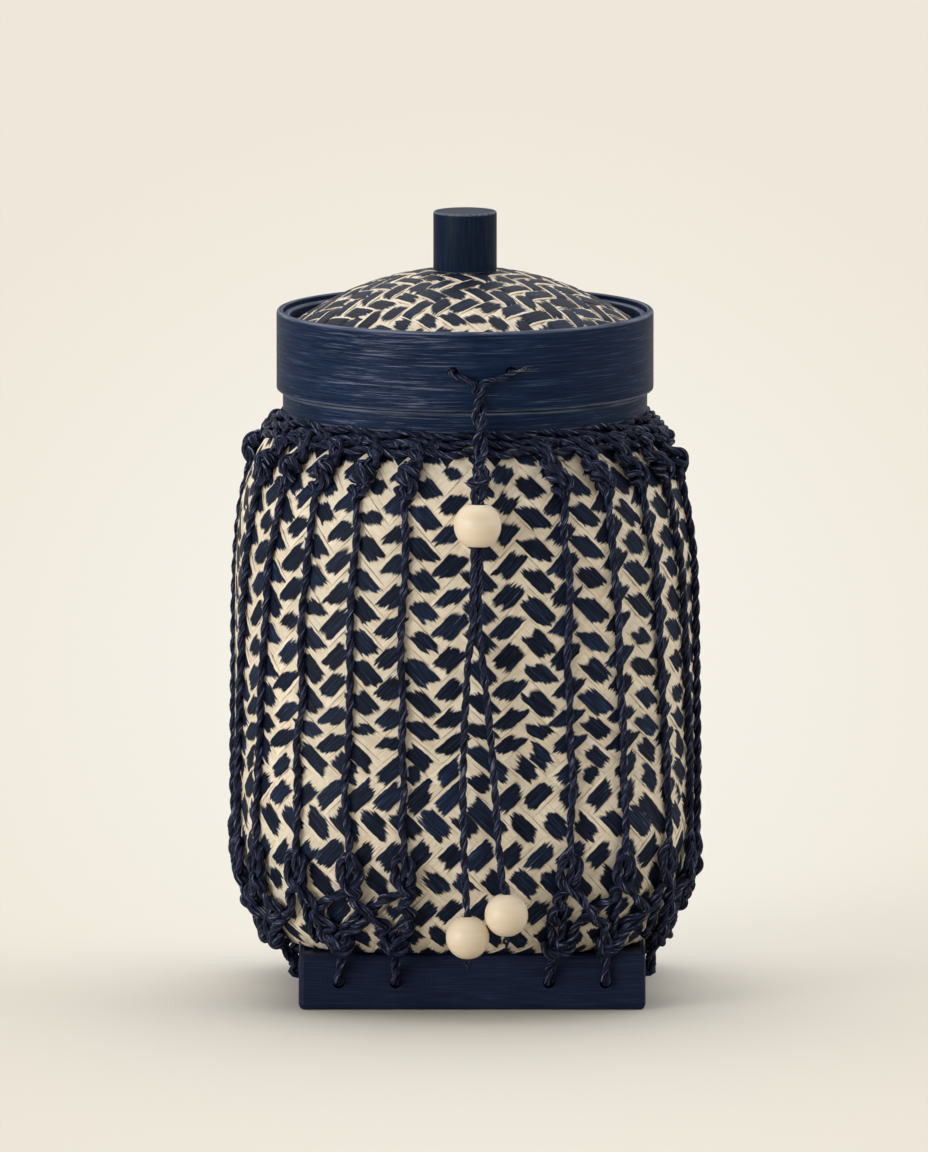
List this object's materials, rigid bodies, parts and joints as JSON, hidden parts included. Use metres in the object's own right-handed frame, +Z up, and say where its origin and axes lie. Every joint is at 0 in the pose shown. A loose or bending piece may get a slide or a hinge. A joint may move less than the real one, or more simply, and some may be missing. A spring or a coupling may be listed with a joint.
{
  "type": "sticky rice basket",
  "caption": "Lidded woven bamboo basket on a square wooden foot, carried in a knotted cord net, with a drum-shaped lid and a beaded closing cord.",
  "frame": {"origin": "on the floor, under the middle of the basket's own mouth", "axes": "+Z up; the closing cord hangs on the front, which faces -Y; +X is to the viewer's right"},
  "size_m": [0.1368, 0.1465, 0.2229],
  "materials": {
    "indigo_stained_wood": "stained indigo, matt, fine grain",
    "dyed_bamboo_weave": "bamboo strips, natural and dyed indigo, woven in twill",
    "natural_bamboo": "split bamboo, unfinished",
    "indigo_cord": "twisted two-ply cord, dyed indigo",
    "pale_bead_wood": "turned pale wood, lightly polished",
    "screw_steel": "plain steel screw"
  },
  "bodies": {
    "basket": {"base_back_slat": "indigo_stained_wood", "base_front_slat": "indigo_stained_wood", "base_left_slat": "indigo_stained_wood", "base_right_slat": "indigo_stained_wood", "lining_basket": "natural_bamboo", "mouth_hoop": "natural_bamboo", "neck_cord_lower": "indigo_cord", "neck_cord_upper": "indigo_cord", "neck_ring": "indigo_stained_wood", "net_cord_back_left_1": "indigo_cord", "net_cord_back_left_2": "indigo_cord", "net_cord_back_left_3": "indigo_cord", "net_cord_back_left_4": "indigo_cord", "net_cord_back_left_5": "indigo_cord", "net_cord_back_right_1": "indigo_cord", "net_cord_back_right_2": "indigo_cord", "net_cord_back_right_3": "indigo_cord", "net_cord_back_right_4": "indigo_cord", "net_cord_back_right_5": "indigo_cord", "net_cord_front_left_1": "indigo_cord", "net_cord_front_left_2": "indigo_cord", "net_cord_front_left_3": "indigo_cord", "net_cord_front_left_4": "indigo_cord", "net_cord_front_left_5": "indigo_cord", "net_cord_front_right_1": "indigo_cord", "net_cord_front_right_2": "indigo_cord", "net_cord_front_right_3": "indigo_cord", "net_cord_front_right_4": "indigo_cord", "net_cord_front_right_5": "indigo_cord", "outer_basket": "dyed_bamboo_weave"},
    "lid": {"lid_rim": "indigo_stained_wood", "lid_inner_hoop": "indigo_stained_wood", "lid_dome": "dyed_bamboo_weave", "lid_dome_lining": "natural_bamboo", "knob": "indigo_stained_wood", "knob_washer": "natural_bamboo", "knob_screw": "screw_steel", "closing_cord_left": "indigo_cord", "closing_cord_right": "indigo_cord", "closing_cord_bridge": "indigo_cord", "end_bead_left": "pale_bead_wood", "end_bead_right": "pale_bead_wood"},
    "slider_bead": {"slider_bead": "pale_bead_wood"}
  },
  "joints": [
    {"name": "lid_lift", "type": "slide", "parent": "basket", "child": "lid", "axis": [0, 0, 1], "range_m": [0, 0.07]},
    {"name": "slider_slide", "type": "slide", "parent": "lid", "child": "slider_bead", "axis": [-0.0215, -0.0546, -0.9983], "range_m": [0, 0.018]}
  ]
}
